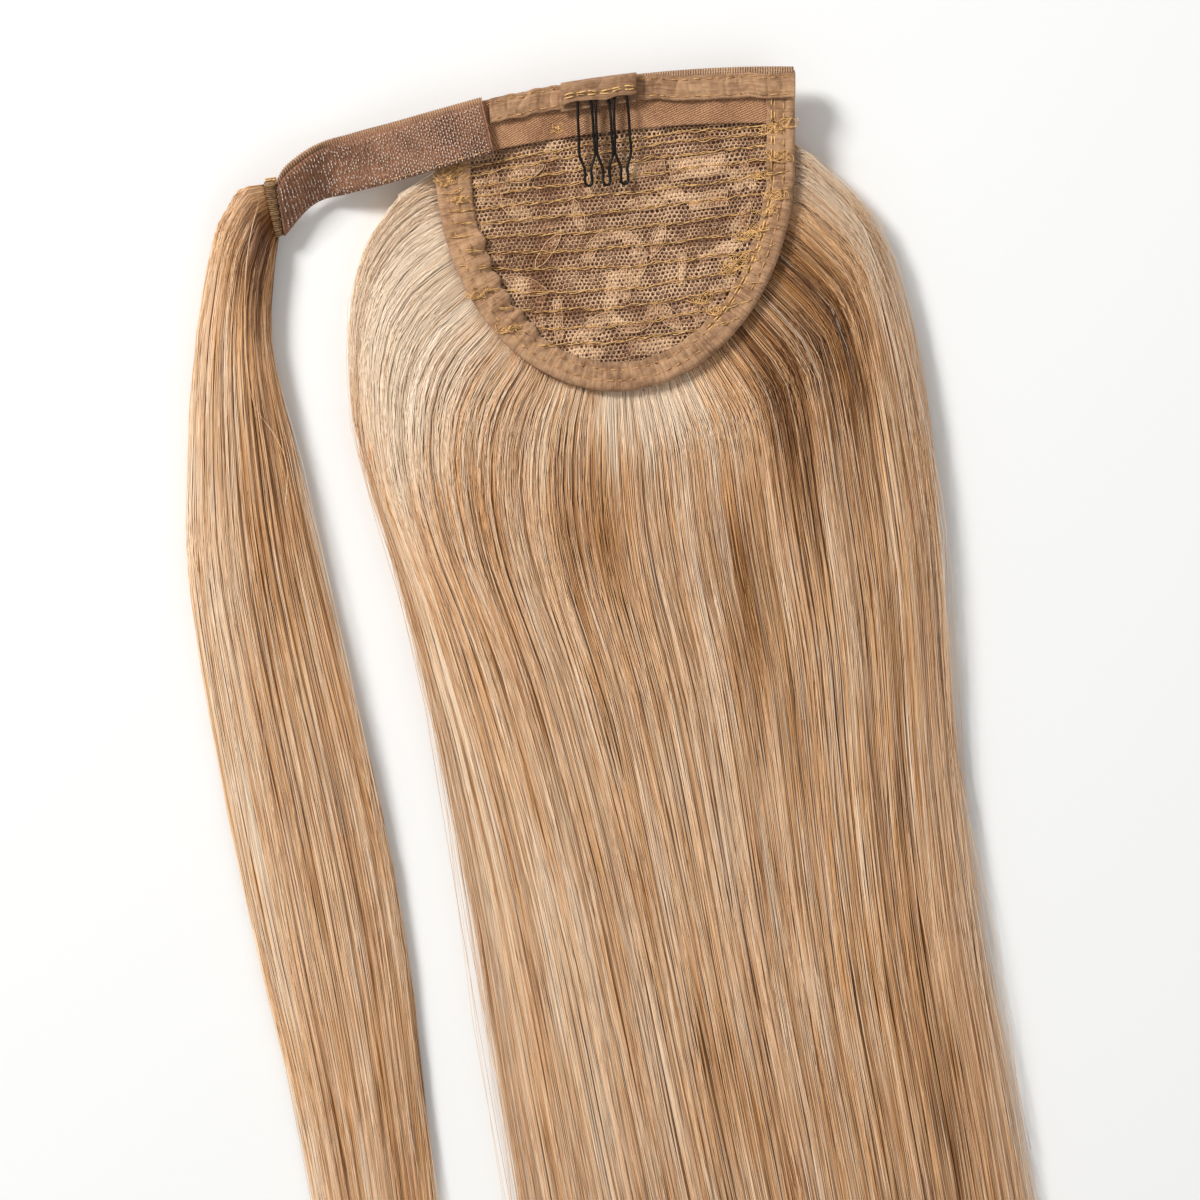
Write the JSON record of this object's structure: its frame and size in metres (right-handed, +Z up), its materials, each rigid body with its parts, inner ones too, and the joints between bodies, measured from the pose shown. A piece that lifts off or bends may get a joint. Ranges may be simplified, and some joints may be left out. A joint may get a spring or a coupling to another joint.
{
  "type": "wrap-around ponytail hairpiece",
  "caption": "Straight honey-blonde ponytail hairpiece laid flat: D-shaped lace cap with wire comb and bound rim, and an elastic strap with hook tape that carries a narrow wrap lock.",
  "frame": {"origin": "middle of the hairpiece's footprint, on the surface that it lies on", "axes": "+Z up from the surface, +Y from the hair's tips towards the cap's top edge, +X to the right with the inside of the cap facing up"},
  "size_m": [0.2636, 0.4084, 0.0182],
  "materials": {
    "net": "matte tan lace net",
    "tape": "matte woven tape",
    "elastic": "matte woven elastic",
    "hook": "fine hook tape",
    "wire": "satin black coating",
    "hair": "silky straight hair",
    "hair_root": "sewn hair roll"
  },
  "bodies": {
    "root": {"net_cap": "net", "rim_tape": "tape", "top_tape": "tape", "top_elastic": "elastic", "strap": "elastic", "hook_tape": "hook", "comb": "wire", "comb_sleeve": "tape", "main_hair": "hair", "wrap_roll": "hair_root", "wrap_hair": "hair"}
  },
  "joints": []
}
